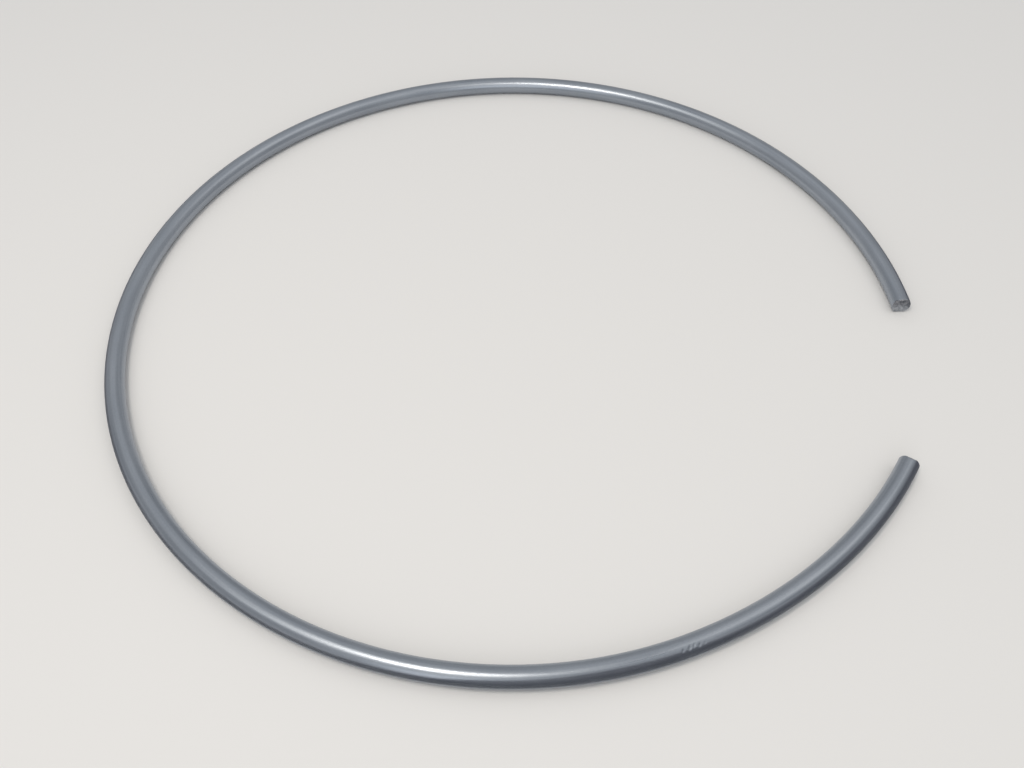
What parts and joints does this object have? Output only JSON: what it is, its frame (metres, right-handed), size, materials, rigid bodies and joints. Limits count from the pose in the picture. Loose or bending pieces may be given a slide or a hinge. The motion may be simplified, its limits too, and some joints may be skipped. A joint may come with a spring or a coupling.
{
  "type": "round wire snap ring",
  "caption": "Round spring wire bent to an open ring with sheared ends, which springs into a groove inside a bore to hold a bearing or cover in place.",
  "frame": {"origin": "centre of the ring's round arc, in the wire's middle plane", "axes": "+Z along the ring's axis, +X towards the middle of the gap"},
  "size_m": [0.1356, 0.136, 0.0032],
  "materials": {
    "spring_steel": "drawn spring wire, satin, bare and lightly oiled"
  },
  "bodies": {
    "root": {"snap_ring": "spring_steel"}
  },
  "joints": []
}
